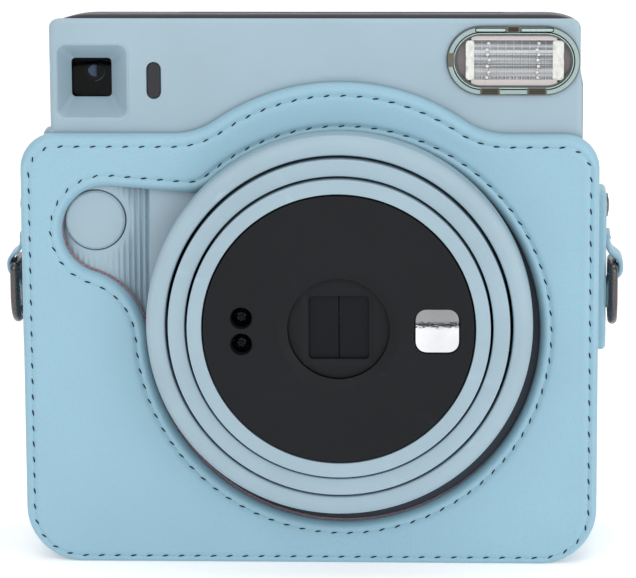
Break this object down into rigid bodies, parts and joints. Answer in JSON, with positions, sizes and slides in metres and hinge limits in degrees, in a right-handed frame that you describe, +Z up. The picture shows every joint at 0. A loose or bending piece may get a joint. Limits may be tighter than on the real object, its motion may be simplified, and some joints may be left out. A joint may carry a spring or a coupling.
{
  "type": "instant camera",
  "caption": "Square-format instant camera in a fitted leather half case, with a turning lens ring, telescoping barrel, hinged film door and side strap rings.",
  "frame": {"origin": "centre of the bounding box, at the height of the flat base of the case", "axes": "+X to the right as seen from the front, +Y from the lens towards the film door, +Z up"},
  "size_m": [0.145, 0.0578, 0.1271],
  "materials": {
    "blue_plastic": "moulded, fine satin texture, light grey-blue",
    "dark_plastic": "moulded, satin, dark grey",
    "black_plastic": "moulded, satin, near black",
    "clear_plastic": "clear moulded plastic",
    "optical_glass": "polished, coated",
    "mirror": "polished",
    "steel": "plain machined or rolled",
    "gunmetal": "dark plated",
    "circuit_board": "lacquered board",
    "battery_wrap": "shrink-wrapped cell",
    "nylon": "natural moulded gear plastic",
    "rubber": "thin flexible sheet",
    "leather": "grained synthetic leather, light blue"
  },
  "bodies": {
    "body": {"front_cover": "blue_plastic", "grip_cover": "blue_plastic", "middle_frame": "dark_plastic", "rear_cover": "blue_plastic", "tripod_socket": "steel", "finder_window": "optical_glass", "finder_eyepiece": "black_plastic", "sensor_window": "black_plastic", "flash_window": "clear_plastic", "flash_housing": "dark_plastic", "flash_reflector": "mirror", "flash_tube": "optical_glass", "flash_capacitor": "gunmetal", "lens_base": "dark_plastic", "film_chassis": "black_plastic", "roller_bracket": "steel", "film_motor": "steel", "battery_holder": "black_plastic", "battery_lower": "battery_wrap", "battery_upper": "battery_wrap", "main_board": "circuit_board", "hinge_pin": "steel", "counter_window": "clear_plastic", "case_front_panel": "leather", "case_side_strip": "leather", "case_back_panel": "leather", "strap_tab_left": "leather", "strap_tab_right": "leather", "snap_cap_left": "gunmetal", "snap_cap_right": "gunmetal"},
    "ring": {"lens_ring": "blue_plastic"},
    "outer_barrel": {"barrel_outer_band": "blue_plastic"},
    "inner_barrel": {"barrel_inner_band": "blue_plastic", "front_disc": "black_plastic", "lens_hood": "black_plastic", "lens_cell": "black_plastic", "front_lens": "optical_glass", "selfie_mirror": "mirror", "range_lens_upper": "optical_glass", "range_lens_lower": "optical_glass"},
    "left_cover": {"lens_cover_left": "black_plastic"},
    "right_cover": {"lens_cover_right": "black_plastic"},
    "shutter": {"shutter_blade": "gunmetal"},
    "button": {"shutter_button": "blue_plastic", "button_spring": "steel"},
    "flap": {"exit_flap": "rubber"},
    "door": {"film_door": "blue_plastic", "pack_window": "clear_plastic", "pack_spring": "steel"},
    "latch": {"door_latch": "dark_plastic"},
    "battery_door": {"battery_cover": "blue_plastic"},
    "pinion": {"motor_pinion": "nylon"},
    "idler": {"idler_gear": "nylon"},
    "drive": {"drive_roller": "steel", "roller_gear": "nylon"},
    "presser": {"pressure_roller": "steel"},
    "claw": {"pick_claw": "steel"},
    "counter": {"counter_wheel": "nylon"},
    "left_ring": {"d_ring_left": "gunmetal"},
    "right_ring": {"d_ring_right": "gunmetal"}
  },
  "joints": [
    {"name": "ring_turn", "type": "hinge", "parent": "body", "child": "ring", "pos_m": [0.007, -0.0223, 0.0577], "axis": [0, 1, 0], "range_deg": [0, 70]},
    {"name": "outer_barrel_slide", "type": "slide", "parent": "body", "child": "outer_barrel", "axis": [0, -1, 0], "range_m": [0, 0.004]},
    {"name": "inner_barrel_slide", "type": "slide", "parent": "body", "child": "inner_barrel", "axis": [0, -1, 0], "range_m": [0, 0.008]},
    {"name": "left_cover_slide", "type": "slide", "parent": "inner_barrel", "child": "left_cover", "axis": [-1, 0, 0], "range_m": [0, 0.0072]},
    {"name": "right_cover_slide", "type": "slide", "parent": "inner_barrel", "child": "right_cover", "axis": [1, 0, 0], "range_m": [0, 0.0072]},
    {"name": "shutter_swing", "type": "hinge", "parent": "inner_barrel", "child": "shutter", "pos_m": [0.007, -0.0137, 0.0511], "axis": [0, 1, 0], "range_deg": [0, 35], "stiffness_Nm_per_rad": 0.002},
    {"name": "button_press", "type": "slide", "parent": "body", "child": "button", "axis": [0, 1, 0], "range_m": [0, 0.0012], "stiffness_N_per_m": 500},
    {"name": "flap_swing", "type": "hinge", "parent": "body", "child": "flap", "pos_m": [0.0067, 0.0074, 0.1246], "axis": [-1, 0, 0], "range_deg": [0, 75], "stiffness_Nm_per_rad": 0.0005},
    {"name": "door_swing", "type": "hinge", "parent": "body", "child": "door", "pos_m": [0.0511, 0.0265, 0.063], "axis": [0, 0, -1], "range_deg": [0, 110]},
    {"name": "latch_slide", "type": "slide", "parent": "body", "child": "latch", "axis": [0, 0, 1], "range_m": [0, 0.004], "stiffness_N_per_m": 300},
    {"name": "battery_door_slide", "type": "slide", "parent": "body", "child": "battery_door", "axis": [0, 0, -1], "range_m": [0, 0.004]},
    {"name": "pinion_spin", "type": "hinge", "parent": "body", "child": "pinion", "pos_m": [0.0485, -0.0038, 0.102], "axis": [1, 0, 0], "continuous": true},
    {"name": "idler_spin", "type": "hinge", "parent": "body", "child": "idler", "pos_m": [0.0485, 0.00888, 0.10022], "axis": [1, 0, 0], "continuous": true},
    {"name": "drive_spin", "type": "hinge", "parent": "body", "child": "drive", "pos_m": [0.0067, 0.0097, 0.1138], "axis": [1, 0, 0], "continuous": true},
    {"name": "presser_spin", "type": "hinge", "parent": "body", "child": "presser", "pos_m": [0.0067, 0.0029, 0.1138], "axis": [1, 0, 0], "continuous": true},
    {"name": "claw_slide", "type": "slide", "parent": "body", "child": "claw", "axis": [0, 0, 1], "range_m": [0, 0.004], "stiffness_N_per_m": 100},
    {"name": "counter_turn", "type": "hinge", "parent": "body", "child": "counter", "pos_m": [-0.044, 0.0224, 0.052], "axis": [0, 1, 0], "range_deg": [0, 300]},
    {"name": "left_ring_swing", "type": "hinge", "parent": "body", "child": "left_ring", "pos_m": [-0.0697, 0.0077, 0.066], "axis": [0, 1, 0], "range_deg": [-2, 150]},
    {"name": "right_ring_swing", "type": "hinge", "parent": "body", "child": "right_ring", "pos_m": [0.0697, 0.0077, 0.066], "axis": [0, -1, 0], "range_deg": [-2, 150]}
  ],
  "couplings": [
    {"joint": "outer_barrel_slide", "follows": "ring_turn", "m_per_rad": 0.003274},
    {"joint": "inner_barrel_slide", "follows": "ring_turn", "m_per_rad": 0.0065481},
    {"joint": "left_cover_slide", "follows": "ring_turn", "m_per_rad": 0.0058933},
    {"joint": "right_cover_slide", "follows": "ring_turn", "m_per_rad": 0.0058933},
    {"joint": "pinion_spin", "follows": "drive_spin", "ratio": 1.2},
    {"joint": "idler_spin", "follows": "drive_spin", "ratio": -0.54545},
    {"joint": "presser_spin", "follows": "drive_spin", "ratio": -1}
  ]
}
